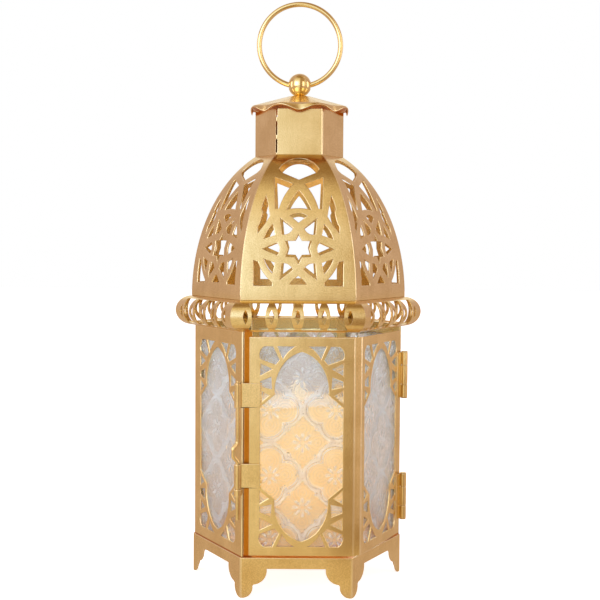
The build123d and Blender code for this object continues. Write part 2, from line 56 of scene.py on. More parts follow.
# Rounding of the sheet's cut edges, of rims that are seen from outside and of folds
MERGE_GAP = 0.002 * MM
FLAT_TURN = math.radians(0.4)
EDGE_ROUND = 0.18 * MM
EDGE_TURN = math.radians(35)
EDGE_STEPS = 3
RIM_ROUND = 0.28 * MM
RIM_OUTWARD = 0.4
RIMMED_NODES = ("dome_", "door_frame", "body_wall", "base_pan", "latch_lower", "latch_upper")
FOLD_ROUND = 0.7 * MM
FOLD_TURNS = (math.radians(20), math.radians(70))
FOLD_LENGTH = 5 * MM
FOLDED_NODES = ("base_pan", "body_wall", "door_frame", "neck_tube")
BELT_NODES = "band_"

# Faces given painted shade, a darker gold: depth of the recess beside the door, and which way the shaded
# faces look
RECESS_DEPTHS = (0.3 * MM, 2.3 * MM)
RECESS_LEAN = 0.1
PAN_UPWARD = 0.9
CAP_DOWNWARD = -0.2

# Relief of the pressed panes: four-lobed medallions with a flower in the middle, on a stippled ground
PANE_GRID = 0.3 * MM
PANE_MARGIN_EDGES = (0.5 * MM, 0.75 * MM)
RELIEF_NAME = "relief"
RELIEF_DEPTH = 0.25 * MM
RELIEF_TOP = 2.0
RIPPLE_DEPTH = 0.08 * MM
RIPPLE_GRAIN = 3.0 * MM
MEDALLION_PITCH = 28.0 * MM
SHIFT_PER_PANE = Vector((0.37, 0.0, 0.61)) * MEDALLION_PITCH
LOBE_OFFSET = 6.4 * MM
LOBE_RADIUS = 6.9 * MM
RING_WIDTH = 0.55 * MM
RING_STEP = 1.5 * MM
SECOND_RING = 0.6
LINE_PITCH = 1.3 * MM
LINE_SHARE = 0.5
STIPPLE_PITCH = 1.9 * MM
STIPPLE_SHARE = 0.5
FLOWER_RADIUS = 4.4 * MM
FLOWER_EYE_EDGES = (0.2 * FLOWER_RADIUS, 0.6 * FLOWER_RADIUS)
PETALS = 8
HAND_DRIFT = 1.2 * MM
HAND_GRAIN = 7.0 * MM

# Noise in the finishes: its middle value, how rich it is, and the strength of fine bumps
NOISE_MIDDLE = 0.5
SMOOTH_NOISE = 1.0
FINE_NOISE = 2.0
RICH_NOISE = 3.0
EVENLY = (1.0, 1.0, 1.0)
BUMPS = 0.5
FAINT_BUMPS = 0.4

# Gold paints: deep tone, light tone, middle roughness and how far it varies
GOLD_PAINTS = {
    "gold_paint_finish": ((0.80, 0.59, 0.25, 1.0), (0.98, 0.77, 0.38, 1.0), 0.20, 0.05),
    # A lighter gold that paints a highlight on the rounded edges
    "gold_painted_edge_highlight": ((0.92, 0.74, 0.40, 1.0), (0.98, 0.83, 0.53, 1.0), 0.26, 0.04),
    "gold_polished": ((0.90, 0.69, 0.30, 1.0), (0.94, 0.75, 0.36, 1.0), 0.17, 0.03),
    # A darker orange-brown gold that paints shade beside the door, under it and under the roof cap
    "gold_in_shade": ((0.56, 0.19, 0.012, 1.0), (0.74, 0.28, 0.03, 1.0), 0.34, 0.05),
}
CLOUD_GRAIN = 14 * MM
CLOUD_SHARE = 0.45
FLAKE_GRAIN = 0.45 * MM
FLAKE_SHARE = 0.43
WIPE_GRAIN = 1.3 * MM
WIPE_SHARE = 0.12
WIPE_STRETCH = (1.0, 1.0, 0.06)
TONE_EDGES = (0.34, 0.66)
PEEL_GRAIN = 1.1 * MM
PEEL_FLAKE = 0.35
PEEL_DEPTH = 0.012 * MM
INSIDE_NODES = ("wall_glass_clips", "door_glass_clips", "neck_bridge")

# Pressed glass, clear with milky ridges
GLASS_GRAIN = 0.9 * MM
GLASS_SMEAR = 12 * MM
GLASS_SKIN = 0.03 * MM
GLASS_TINTS = ((0.90, 0.94, 0.98, 1.0), (0.92, 0.96, 1.0, 1.0))
GLASS_ROUGH = 0.10
GLASS_SPREAD = 0.06
GLASS_IOR = 1.48
MILK_TINTS = ((0.86, 0.88, 0.92, 1.0), (0.94, 0.96, 1.0, 1.0))
MILK_ROUGH = 0.30
MILK_SPREAD = 0.10
MILK_LEAST = 0.08
MILK_MOST = 0.28
MILK_EDGES = (0.05, 0.60)

# Shape of the candle's wax; a wave of its melted rim has a count, a share of the melt and a start
WAX_SIDES = 128
WAX_RIM_ROUND = 1.6 * MM
WAX_RIM_STEPS = 5
WAX_MELT = 1.3 * MM
WAX_MELT_MIDDLE = 0.5
WAX_WAVES = ((3, 0.28, 0.6), (7, 0.22, 2.1))
WAX_DISH = 3.0 * MM
WAX_DISH_STEPS = 8
WAX_DIP = 0.6 * MM
WICK_HOLE = 2.65 * MM
SEAT_PLAY = 0.05 * MM

# Lit wax and flame; each glow runs from foot to top
WAX_MOTTLE = 6 * MM
WAX_PORES = 0.8 * MM
WAX_SKIN = 0.2 * MM
WAX_SKIN_PORES = 0.2
WAX_TINTS = ((0.52, 0.35, 0.16, 1.0), (0.60, 0.42, 0.20, 1.0))
WAX_ROUGH = 0.42
WAX_SPREAD = 0.12
WAX_GLOW = ((0.0, (0.50, 0.20, 0.01, 1.0)), (0.4, (1.0, 0.44, 0.03, 1.0)), (1.0, (1.0, 0.56, 0.14, 1.0)))
WAX_GLOW_UNEVEN = 0.12
WAX_GLOW_STRENGTH = 0.7
DISH_GLOW = (0.85, 0.60, 0.38, 1.0)
DISH_GLOW_INSET = 4 * WAX_RIM_ROUND
FLAME_STREAK = 1.5 * MM
FLAME_STRETCH = (1.0, 1.0, 0.3)
FLAME_TINTS = ((1.0, 0.82, 0.56, 1.0), (1.0, 0.90, 0.70, 1.0))
FLAME_ROUGH = 0.3
FLAME_SPREAD = 0.1
FLAME_GLOW = ((0.35, (1.0, 0.58, 0.26, 1.0)), (0.6, (1.0, 0.76, 0.46, 1.0)), (1.0, (1.0, 0.66, 0.34, 1.0)))
FLAME_GLOW_UNEVEN = 0.1
FLAME_GLOW_STRENGTH = 0.3

# Plastic and steel of the parts inside
PLASTIC_CLOUD = 9 * MM
PLASTIC_GRAIN = 0.35 * MM
PLASTIC_SKIN = 0.02 * MM
PLASTIC_TINTS = ((0.74, 0.70, 0.60, 1.0), (0.80, 0.77, 0.68, 1.0))
PLASTIC_ROUGH = 0.45
PLASTIC_SPREAD = 0.12
STEEL_CLOUD = 3 * MM
STEEL_TURNING = 0.5 * MM
STEEL_STRETCH = (1.0, 1.0, 8.0)
STEEL_SKIN = 0.01 * MM
STEEL_TINTS = ((0.48, 0.47, 0.44, 1.0), (0.62, 0.61, 0.58, 1.0))
STEEL_ROUGH = 0.24
STEEL_SPREAD = 0.16

# Tack welds beside the latch straps: how many beads, and the size of a bead
WELD_BEADS = {"upper": 14, "lower": 6}
BEAD_RADIUS = 0.5 * MM
BEAD_WANDER = 0.22 * MM
BEAD_LEAST = (0.6, 0.5, 0.6)
BEAD_MOST = (1.25, 1.0, 1.5)
BEAD_FINENESS = 2
BEAD_SIZE_SEED = 7

# View
CAMERA_PLACE = Vector((0.0008, -0.5198, 0.1528))
CAMERA_DROP = math.radians(2.98)
CAMERA_ROLL = math.radians(0.4)
CAMERA_NEAREST = 0.01
LENS = 68.08
SENSOR = 36.0

# Room that the gold sees: lit on the left, dim on the right of the middle
ROOM_LIT = (1.28, 1.48, 1.90, 1.0)
ROOM_LIT_EDGES = (0.0, -0.07)
ROOM_LIT_TOP_EDGES = (0.86, 0.34)
ROOM_LEFT_EDGES = (-0.85, -0.60)
ROOM_MID = (0.87, 0.74, 0.54, 1.0)
ROOM_DIM = (0.44, 0.28, 0.15, 1.0)
ROOM_DIM_EDGES = (0.0, 0.14)
ROOM_RIGHT_EDGES = (0.80, 0.55)
ROOM_SIDES = (0.59, 0.44, 0.43, 1.0)
ROOM_SIDE_EDGES = (-0.10, 0.45)
ROOM_SIDE_SLANT = 0.6
ROOM_BACK = (0.95, 0.88, 0.78, 1.0)
ROOM_BACK_EDGES = (0.72, 0.86)
ROOM_ZENITH = (0.33, 0.20, 0.09, 1.0)
ROOM_ZENITH_EDGES = (0.85, 1.0)

# Pale room that is seen past the glass
GLASS_SEES_LOW = (0.50, 0.48, 0.44, 1.0)
GLASS_SEES_HIGH = (3.25, 3.80, 3.95, 1.0)
GLASS_SEES_EDGES = (-0.20, 0.22)

# Table that the gold sees; its stripes fan out from a point behind the lantern
TABLE_BASE = (0.1, 0.08, 0.06, 1.0)
TABLE_FOOT = (0.60, 0.46, 0.27, 1.0)
TABLE_FOOT_EDGES = (0.095, 0.13)
TABLE_LIT = (0.68, 0.60, 0.44, 1.0)
TABLE_LIT_EDGES = (0.0, -0.045)
TABLE_LIT_FAR = (0.86, 0.86, 0.88, 1.0)
TABLE_FAR_EDGES = (-0.35, -0.90)
TABLE_MID = (0.60, 0.49, 0.32, 1.0)
TABLE_DIM = (0.28, 0.17, 0.08, 1.0)
TABLE_DIM_EDGES = (0.015, 0.045)
TABLE_SIDES = (0.49, 0.36, 0.29, 1.0)
TABLE_SIDE_EDGES = (0.2, 0.4)
TABLE_BACK_EDGES = (-0.06, -0.03)
TABLE_FAN = 0.43

# White paper under the lantern
FLOOR_HALF = 3.0
FLOOR_CELLS = 8
PAPER_FIBRE = 2 * MM
PAPER_TINTS = ((0.86, 0.86, 0.86, 1.0), (0.92, 0.92, 0.92, 1.0))
PAPER_GLOW = (0.78, 0.80, 0.82, 1.0)
PAPER_ROUGH = 0.85
PAPER_SPREAD = 0.1

# Lamps: where each one stands and how wide it is
LAMPS = {
    "front_left_softbox": ((-0.75, -1.0, 0.45), 0.7),
    "front_right_softbox": ((0.75, -1.0, 0.45), 0.4),
    "left_strip": ((-1.2, 0.0, 0.3), 0.35),
    "right_strip": ((1.2, 0.0, 0.3), 0.35),
}
LAMP_HEIGHT = 0.9
LAMP_RADIANCE = 1.6
LAMP_COLOUR = (1.0, 0.98, 0.96)
LAMP_AIM = Vector((0.0, 0.0, 0.15))

record = frame["record"]
body_of_node = {node: body for body, nodes in record["behaviour"]["bodies"].items() for node in nodes}
slot_of_node = {part["node"]: part["material_slot"] for part in record["subparts"]}
nodes_in_slot = {}
for node, slot in slot_of_node.items():
    nodes_in_slot.setdefault(slot, []).append(node)


class Value:
    """A socket in a node tree; arithmetic with it adds Math nodes to that tree."""

    def __init__(self, board, socket):
        self.board = board
        self.socket = socket

    def out(self, name):
        """Another output of the same node."""
        return Value(self.board, self.socket.node.outputs[name])

    def __add__(self, other):
        return self.board.math("ADD", self, other)

    __radd__ = __add__

    def __sub__(self, other):
        return self.board.math("SUBTRACT", self, other)

    def __rsub__(self, other):
        return self.board.math("SUBTRACT", other, self)

    def __mul__(self, other):
        return self.board.math("MULTIPLY", self, other)

    __rmul__ = __mul__

    def __truediv__(self, other):
        return self.board.math("DIVIDE", self, other)


class Board:
    """A node tree under construction."""

    def __init__(self, tree):
        self.tree = tree
        self.tree.nodes.clear()

    def node(self, kind, settings=None, sockets=None):
        """Adds a node, sets it, fills its sockets and gives its first output."""
        made = self.tree.nodes.new(kind)
        for name, setting in (settings or {}).items():
            if name == "stops":
                ramp = made.color_ramp.elements
                while len(ramp) < len(setting):
                    ramp.new(0.5)
                for element, (place, colour) in zip(ramp, setting):
                    element.position = place
                    element.color = colour
            else:
                setattr(made, name, setting)
        for name, value in (sockets or {}).items():
            if isinstance(value, Value):
                self.tree.links.new(value.socket, made.inputs[name])
            else:
                made.inputs[name].default_value = value
        return Value(self, made.outputs[0]) if made.outputs else None

    def math(self, operation, first, second=0.0):
        return self.node("ShaderNodeMath", {"operation": operation}, {0: first, 1: second})

    def length(self, across, up):
        return self.math("SQRT", across * across + up * up)

    def wave(self, turn):
        """1 at every full turn, 0 half way between."""
        return 0.5 + 0.5 * self.math("COSINE", turn)

    def ridge(self, off):
        """1 on a line and 0 off it; off is the distance from the line in line widths."""
        return self.math("EXPONENT", -1.0 * off * off)

    def ease(self, value, start, end):
        """0 before start, 1 after end, smooth between; end may lie below start."""
        return self.node("ShaderNodeMapRange", {"interpolation_type": "SMOOTHSTEP"},
                         {"Value": value, "From Min": start, "From Max": end})

    def blend(self, share, first, second):
        """Number between first and second."""
        return self.node("ShaderNodeMix", {"data_type": "FLOAT"}, {0: share, 2: first, 3: second})

    def tint(self, share, first, second):
        """Colour between first and second."""
        return self.node("ShaderNodeMix", {"data_type": "RGBA"}, {0: share, 6: first, 7: second}).out(2)

    def speckle(self, place, grain, detail=FINE_NOISE, stretch=EVENLY):
        """Noise of about 0 to 1 whose clumps are grain metres across."""
        spread = self.node("ShaderNodeMapping", {"vector_type": "POINT"}, {"Vector": place, "Scale": stretch})
        return self.node("ShaderNodeTexNoise", None, {
            "Vector": spread, "Scale": 1.0 / grain, "Detail": detail})

    def skin(self, height, depth, strength=BUMPS):
        """Normal of a surface with fine bumps, depth metres deep."""
        return self.node("ShaderNodeBump", None, {"Strength": strength, "Distance": depth, "Height": height})

    def axes(self, place):
        """Splits a place; its parts are the outputs X, Y and Z."""
        return self.node("ShaderNodeSeparateXYZ", None, {0: place})


def new_finish(name):
    """A material, its board and its Object coordinates."""
    material = bpy.data.materials.new(name)
    material.use_nodes = True
    board = Board(material.node_tree)
    return material, board, board.node("ShaderNodeTexCoord").out("Object")


def close_finish(board, sockets):
    """Ends a finish with one surface."""
    surface = board.node("ShaderNodeBsdfPrincipled", None, sockets)
    board.node("ShaderNodeOutputMaterial", None, {"Surface": surface})


def gold_paint(name, deep, light, rough, rough_spread):
    """Sprayed gold: soft clouds, metal flake, orange peel and faint upright wipe marks."""
    material, board, place = new_finish(name)
    cloud = board.speckle(place, CLOUD_GRAIN, RICH_NOISE)
    flake = board.speckle(place, FLAKE_GRAIN, SMOOTH_NOISE)
    wipe = board.speckle(place, WIPE_GRAIN, stretch=WIPE_STRETCH)
    tone = board.ease(CLOUD_SHARE * cloud + FLAKE_SHARE * flake + WIPE_SHARE * wipe, *TONE_EDGES)
    peel = board.speckle(place, PEEL_GRAIN) + PEEL_FLAKE * flake
    close_finish(board, {
        "Base Color": board.tint(tone, deep, light),
        "Metallic": 1.0,
        "Roughness": rough + rough_spread * (cloud + flake - 2 * NOISE_MIDDLE),
        "Normal": board.skin(peel, PEEL_DEPTH),
    })
    return material


def pressed_glass():
    """Clear glass, milky on the ridges of its relief."""
    material, board, place = new_finish("pressed_glass_finish")
    grain = board.speckle(place, GLASS_GRAIN)
    smear = board.speckle(place, GLASS_SMEAR)
    skin = board.skin(grain, GLASS_SKIN)
    ridges = board.node("ShaderNodeAttribute", {"attribute_name": RELIEF_NAME}).out("Fac")
    clear = board.node("ShaderNodeBsdfPrincipled", None, {
        "Base Color": board.tint(smear, *GLASS_TINTS),
        "Roughness": GLASS_ROUGH + GLASS_SPREAD * smear,
        "IOR": GLASS_IOR,
        "Transmission Weight": 1.0,
        "Normal": skin,
    })
    milky = board.node("ShaderNodeBsdfPrincipled", None, {
        "Base Color": board.tint(grain, *MILK_TINTS),
        "Roughness": MILK_ROUGH + MILK_SPREAD * grain,
        "Normal": skin,
    })
    share = MILK_LEAST + (MILK_MOST - MILK_LEAST) * board.ease(ridges, *MILK_EDGES)
    surface = board.node("ShaderNodeMixShader", None, {0: share, 1: clear, 2: milky})
    board.node("ShaderNodeOutputMaterial", None, {"Surface": surface})
    return material


def lit_wax():
    """Ivory wax lit from inside, brightest under the flame."""
    material, board, place = new_finish("lit_wax")
    shell_low, shell_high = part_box("candle_shell")
    spot = board.axes(place)
    share = (spot.out("Z") - shell_low.z) / (shell_high.z - shell_low.z)
    mottle = board.speckle(place, WAX_MOTTLE, RICH_NOISE)
    pores = board.speckle(place, WAX_PORES)
    uneven = WAX_GLOW_UNEVEN * (mottle - NOISE_MIDDLE)
    wall_glow = board.node("ShaderNodeValToRGB", {"stops": WAX_GLOW}, {0: share + uneven})
    radius = board.length(spot.out("X"), spot.out("Y"))
    dish = board.ease(radius, shell_high.x - WAX_RIM_ROUND, shell_high.x - DISH_GLOW_INSET)
    close_finish(board, {
        "Base Color": board.tint(mottle, *WAX_TINTS),
        "Roughness": WAX_ROUGH + WAX_SPREAD * pores,
        "Emission Color": board.tint(dish, wall_glow, DISH_GLOW),
        "Emission Strength": WAX_GLOW_STRENGTH,
        "Normal": board.skin(mottle + WAX_SKIN_PORES * pores, WAX_SKIN),
    })
    return material


def flame_glow():
    """Flame that glows palest at its middle, with upright streaks."""
    material, board, place = new_finish("flame_glow")
    flame_low, flame_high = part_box("candle_flame")
    share = (board.axes(place).out("Z") - flame_low.z) / (flame_high.z - flame_low.z)
    streak = board.speckle(place, FLAME_STREAK, stretch=FLAME_STRETCH)
    uneven = FLAME_GLOW_UNEVEN * (streak - NOISE_MIDDLE)
    glow = board.node("ShaderNodeValToRGB", {"stops": FLAME_GLOW}, {0: share + uneven})
    close_finish(board, {
        "Base Color": board.tint(streak, *FLAME_TINTS),
        "Roughness": FLAME_ROUGH + FLAME_SPREAD * streak,
        "Emission Color": glow,
        "Emission Strength": FLAME_GLOW_STRENGTH,
    })
    return material


def lamp_plastic():
    """Moulded plastic with a fine grain."""
    material, board, place = new_finish("lamp_plastic_finish")
    cloud = board.speckle(place, PLASTIC_CLOUD)
    grain = board.speckle(place, PLASTIC_GRAIN, SMOOTH_NOISE)
    close_finish(board, {
        "Base Color": board.tint(cloud, *PLASTIC_TINTS),
        "Roughness": PLASTIC_ROUGH + PLASTIC_SPREAD * grain,
        "Normal": board.skin(grain, PLASTIC_SKIN, FAINT_BUMPS),
    })
    return material


def bright_steel():
    """Plated steel with turning marks."""
    material, board, place = new_finish("bright_steel_finish")
    cloud = board.speckle(place, STEEL_CLOUD)
    turning = board.speckle(place, STEEL_TURNING, stretch=STEEL_STRETCH)
    close_finish(board, {
        "Base Color": board.tint(cloud, *STEEL_TINTS),
        "Metallic": 1.0,
        "Roughness": STEEL_ROUGH + STEEL_SPREAD * turning,
        "Normal": board.skin(turning, STEEL_SKIN, FAINT_BUMPS),
    })
    return material


def studio_paper():
    """Paper that looks white; in the gold it is a table, pale round the feet and lit on the left."""
    material, board, place = new_finish("studio_paper")
    fibre = board.speckle(place, PAPER_FIBRE)
    seen = board.node("ShaderNodeLightPath").out("Is Camera Ray")
    spot = board.axes(place)
    x = spot.out("X")
    y = spot.out("Y")
    aside = x / (TABLE_FAN - y)
    lit = board.tint(board.ease(y, *TABLE_FAR_EDGES), TABLE_LIT, TABLE_LIT_FAR)
    left = board.tint(board.ease(aside, *TABLE_LIT_EDGES), TABLE_MID, lit)
    front = board.tint(board.ease(aside, *TABLE_DIM_EDGES), left, TABLE_DIM)
    far_off = board.ease(board.length(x, y), *TABLE_FOOT_EDGES)
    wide = board.ease(board.math("ABSOLUTE", aside), *TABLE_SIDE_EDGES)
    sides = board.math("MAXIMUM", wide, board.ease(y, *TABLE_BACK_EDGES))
    table = board.tint(sides, board.tint(far_off, TABLE_FOOT, front), TABLE_SIDES)
    close_finish(board, {
        "Base Color": board.tint(seen, TABLE_BASE, board.tint(fibre, *PAPER_TINTS)),
        "Roughness": PAPER_ROUGH + PAPER_SPREAD * fibre,
        "Emission Color": board.tint(seen, table, PAPER_GLOW),
        "Emission Strength": 1.0,
    })
    return material


def new_piece(name, data):
    """An object in the scene, of a mesh, a lamp or a lens."""
    piece = bpy.data.objects.new(name, data)
    bpy.context.collection.objects.link(piece)
    return piece


def settle(piece):
    """Turns a piece's modifiers into a plain mesh."""
    depsgraph = bpy.context.evaluated_depsgraph_get()
    piece.data = bpy.data.meshes.new_from_object(piece.evaluated_get(depsgraph))
    piece.modifiers.clear()


def stand_for(piece, node):
    """The piece takes the place of a node on the node's own body."""
    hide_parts(node)
    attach(piece, body_of_node[node])


def edge_share(node, edge):
    """How far an edge is rounded over, as a share of a fold's rounding."""
    turn = edge.calc_face_angle(0.0)
    is_fold = FOLD_TURNS[0] < turn < FOLD_TURNS[1] and edge.calc_length() > FOLD_LENGTH
    if node in FOLDED_NODES and is_fold:
        return 1.0
    if turn < EDGE_TURN:
        return 0.0
    middle = (edge.verts[0].co + edge.verts[1].co) / 2
    outward = Vector((middle.x, middle.y, 0.0)).normalized()
    outside = max(face.normal.dot(outward) for face in edge.link_faces) > RIM_OUTWARD
    return (RIM_ROUND if outside and node.startswith(RIMMED_NODES) else EDGE_ROUND) / FOLD_ROUND


def in_shade(node, face):
    """Whether a face lies in the recess beside the door, under the door or under the roof cap.
    Such faces get a darker gold that paints their shade.
    """
    if node == "body_wall":
        depth = face.calc_center_median().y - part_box("door_frame")[0].y
        in_recess = RECESS_DEPTHS[0] < depth < RECESS_DEPTHS[1]
        return in_recess and face.normal.x > -RECESS_LEAN and face.normal.y < RECESS_LEAN
    if node == "base_pan":
        return face.normal.z > PAN_UPWARD
    return node == "roof_cap" and face.normal.z < CAP_DOWNWARD


def dressed(node, finishes):
    """Copies a node with its folds and cut edges rounded over. The last finish goes on the rounded edges; on
    painted sheet it is a lighter gold that paints a highlight there. The second one goes on faces in shade
    and paints their shade."""
    shape = bmesh.new()
    shape.from_mesh(frame["nodes"][node].data)
    bmesh.ops.remove_doubles(shape, verts=shape.verts, dist=MERGE_GAP)
    bmesh.ops.dissolve_limit(shape, angle_limit=FLAT_TURN, verts=shape.verts, edges=shape.edges)
    rounding = shape.edges.layers.float.new("bevel_weight_edge")
    for edge in shape.edges:
        edge[rounding] = edge_share(node, edge)
    for face in shape.faces:
        face.material_index = int(in_shade(node, face))
    mesh = bpy.data.meshes.new(node + "_painted")
    shape.to_mesh(mesh)
    shape.free()
    for name in ("custom_normal", "sharp_edge"):
        if name in mesh.attributes:
            mesh.attributes.remove(mesh.attributes[name])
    mesh.shade_smooth()
    for finish in finishes:
        mesh.materials.append(finish)
    piece = new_piece(node + "_painted", mesh)
    edges = piece.modifiers.new("rounded_edges", "BEVEL")
    edges.width = FOLD_ROUND
    edges.segments = EDGE_STEPS
    edges.limit_method = "WEIGHT"
    edges.use_clamp_overlap = node.startswith(BELT_NODES)
    edges.material = len(finishes) - 1
    piece.modifiers.new("even_shading", "WEIGHTED_NORMAL")
    settle(piece)
    stand_for(piece, node)


def coat(nodes, finish):
    """Puts a finish on nodes that keep their own shape."""
    for node in nodes:
        frame["nodes"][node].material_slots[0].material = finish


def new_tree(name, inputs):
    """A geometry tree with named inputs: the tree, its board and its input node."""
    tree = bpy.data.node_groups.new(name, "GeometryNodeTree")
    tree.interface.new_socket("Geometry", in_out="OUTPUT", socket_type="NodeSocketGeometry")
    for label, kind in inputs.items():
        tree.interface.new_socket(label, in_out="INPUT", socket_type="NodeSocket" + kind)
    board = Board(tree)
    return tree, board, board.node("NodeGroupInput")


def grown(name, tree, sizes):
    """A plain mesh piece grown by a geometry tree with the given inputs."""
    piece = new_piece(name, bpy.data.meshes.new(name))
    growth = piece.modifiers.new("growth", "NODES")
    growth.node_group = tree
    for item in tree.interface.items_tree:
        if item.in_out == "INPUT":
            growth[item.identifier] = sizes[item.name]
    settle(piece)
    return piece


def medallion(board, across, up, ground):
    """Height of a ringed four-lobed medallion with a flower in its middle, laid over a ground."""
    a = board.math("ABSOLUTE", across)
    b = board.math("ABSOLUTE", up)
    lobe = board.math("MINIMUM", board.length(a - LOBE_OFFSET, b), board.length(a, b - LOBE_OFFSET))
    edge = lobe - LOBE_RADIUS
    rings = board.ridge(edge / RING_WIDTH) + SECOND_RING * board.ridge((edge + RING_STEP) / RING_WIDTH)
    lines = LINE_SHARE * board.wave(edge * (2 * math.pi / LINE_PITCH))
    radius = board.length(across, up)
    petals = board.wave(PETALS * board.math("ARCTAN2", across, up))
    flower = petals * board.ease(radius, *FLOWER_EYE_EDGES)
    filled = board.blend(board.ease(radius, FLOWER_RADIUS, FLOWER_RADIUS - RING_WIDTH), lines, flower)
    laid = board.blend(board.ease(edge, 0.0, -RING_WIDTH), ground, filled)
    return laid + rings


def pane_relief(board, u, v):
    """Height of the pressed pattern, 0 to 1, drawn a little unsteadily."""
    flat = board.node("ShaderNodeCombineXYZ", None, {"X": u, "Y": v})
    drift = board.node("ShaderNodeTexNoise", None, {
        "Vector": flat, "Scale": 1.0 / HAND_GRAIN, "Detail": SMOOTH_NOISE})
    hand = board.axes(drift.out("Color"))
    u = u + HAND_DRIFT * (hand.out("X") - NOISE_MIDDLE)
    v = v + HAND_DRIFT * (hand.out("Y") - NOISE_MIDDLE)
    stipple = 2 * math.pi / STIPPLE_PITCH
    dots = board.math("SINE", u * stipple) * board.math("SINE", v * stipple)
    relief = STIPPLE_SHARE * (0.5 + 0.5 * dots)
    for lead in (0.0, MEDALLION_PITCH / 2):
        across = board.math("FLOORED_MODULO", u + lead, MEDALLION_PITCH) - MEDALLION_PITCH / 2
        up = board.math("FLOORED_MODULO", v + lead, MEDALLION_PITCH) - MEDALLION_PITCH / 2
        relief = medallion(board, across, up, relief)
    return board.math("MINIMUM", relief / RELIEF_TOP, 1.0)


def pane_tree():
    """Pressed pane, drawn at the front: medallions in relief outside, soft ripples inside, plain margin."""
    tree, board, given = new_tree("pressed_pane", {
        "Width": "Float", "Height": "Float", "Thickness": "Float", "Outer face": "Float",
        "Middle": "Vector", "Pattern shift": "Vector", "Columns": "Int", "Rows": "Int",
        "Finish": "Material"})
    width = given.out("Width")
    height = given.out("Height")
    thickness = given.out("Thickness")
    outer = given.out("Outer face")
    grid = board.node("GeometryNodeMeshGrid", None, {
        "Size X": width, "Size Y": height,
        "Vertices X": given.out("Columns"), "Vertices Y": given.out("Rows")})
    flat = board.axes(board.node("GeometryNodeInputPosition"))
    x = flat.out("X")
    z = flat.out("Y")
    shift = board.axes(given.out("Pattern shift"))
    relief = pane_relief(board, x + shift.out("X"), z + shift.out("Z"))
    edge_x = width / 2 - board.math("ABSOLUTE", x)
    edge_z = height / 2 - board.math("ABSOLUTE", z)
    inner_part = board.ease(board.math("MINIMUM", edge_x, edge_z), *PANE_MARGIN_EDGES)
    cut = inner_part * (1.0 - relief) * RELIEF_DEPTH
    middle = board.axes(given.out("Middle"))
    face_place = board.node("ShaderNodeCombineXYZ", None, {
        "X": x + middle.out("X"), "Y": cut - outer, "Z": z + middle.out("Z")})
    marked = board.node("GeometryNodeStoreNamedAttribute", {"data_type": "FLOAT", "domain": "POINT"}, {
        "Geometry": grid, "Name": RELIEF_NAME, "Value": relief * inner_part})
    face = board.node("GeometryNodeSetPosition", None, {"Geometry": marked, "Position": face_place})
    wall = board.node("GeometryNodeExtrudeMesh", {"mode": "FACES"}, {
        "Mesh": face, "Offset": (0.0, 1.0, 0.0), "Offset Scale": thickness, "Individual": False})
    pushed = board.node("GeometryNodeInputPosition")
    now = board.axes(pushed)
    ripple = board.node("ShaderNodeTexNoise", None, {
        "Vector": pushed, "Scale": 1.0 / RIPPLE_GRAIN, "Detail": SMOOTH_NOISE})
    back_place = board.node("ShaderNodeCombineXYZ", None, {
        "X": now.out("X"), "Y": thickness - outer - ripple * RIPPLE_DEPTH, "Z": now.out("Z")})
    solid = board.node("GeometryNodeSetPosition", None, {
        "Geometry": wall, "Selection": wall.out("Top"), "Position": back_place})
    behind = board.node("GeometryNodeFlipFaces", None, {"Mesh": solid})
    joined = board.node("GeometryNodeJoinGeometry", None, {"Geometry": behind})
    board.tree.links.new(face.socket, joined.socket.node.inputs["Geometry"])
    closed = board.node("GeometryNodeMergeByDistance", None, {"Geometry": joined, "Distance": MERGE_GAP})
    smooth = board.node("GeometryNodeSetShadeSmooth", None, {"Geometry": closed})
    plain = board.node("GeometryNodeRealizeInstances", None, {"Geometry": smooth})
    finished = board.node("GeometryNodeSetMaterial", None, {
        "Geometry": plain, "Material": given.out("Finish")})
    board.node("NodeGroupOutput", None, {"Geometry": finished})
    return tree


def pane_seat(node):
    """How far a pane is turned from the front, and its box when it is turned back there."""
    mesh = frame["nodes"][node].data
    outside = max(mesh.polygons, key=lambda face: face.area if face.normal.dot(face.center) > 0 else 0.0)
    turn = Matrix.Rotation(math.atan2(outside.normal.x, -outside.normal.y), 4, "Z")
    places = [turn.inverted() @ vertex.co for vertex in mesh.vertices]
    low = Vector([min(place[axis] for place in places) for axis in range(3)])
    high = Vector([max(place[axis] for place in places) for axis in range(3)])
    return turn, low, high


def make_panes(finish):
    """Grows each pane at the front and turns it to its own side of the lantern."""
    tree = pane_tree()
    for number, node in enumerate(nodes_in_slot["pressed_glass"]):
        turn, low, high = pane_seat(node)
        size = high - low
        piece = grown(node + "_pressed", tree, {
            "Width": size.x, "Height": size.z, "Thickness": size.y, "Outer face": -low.y,
            "Middle": (low + high) / 2, "Pattern shift": number * SHIFT_PER_PANE,
            "Columns": round(size.x / PANE_GRID), "Rows": round(size.z / PANE_GRID), "Finish": finish})
        piece.data.transform(turn)
        stand_for(piece, node)


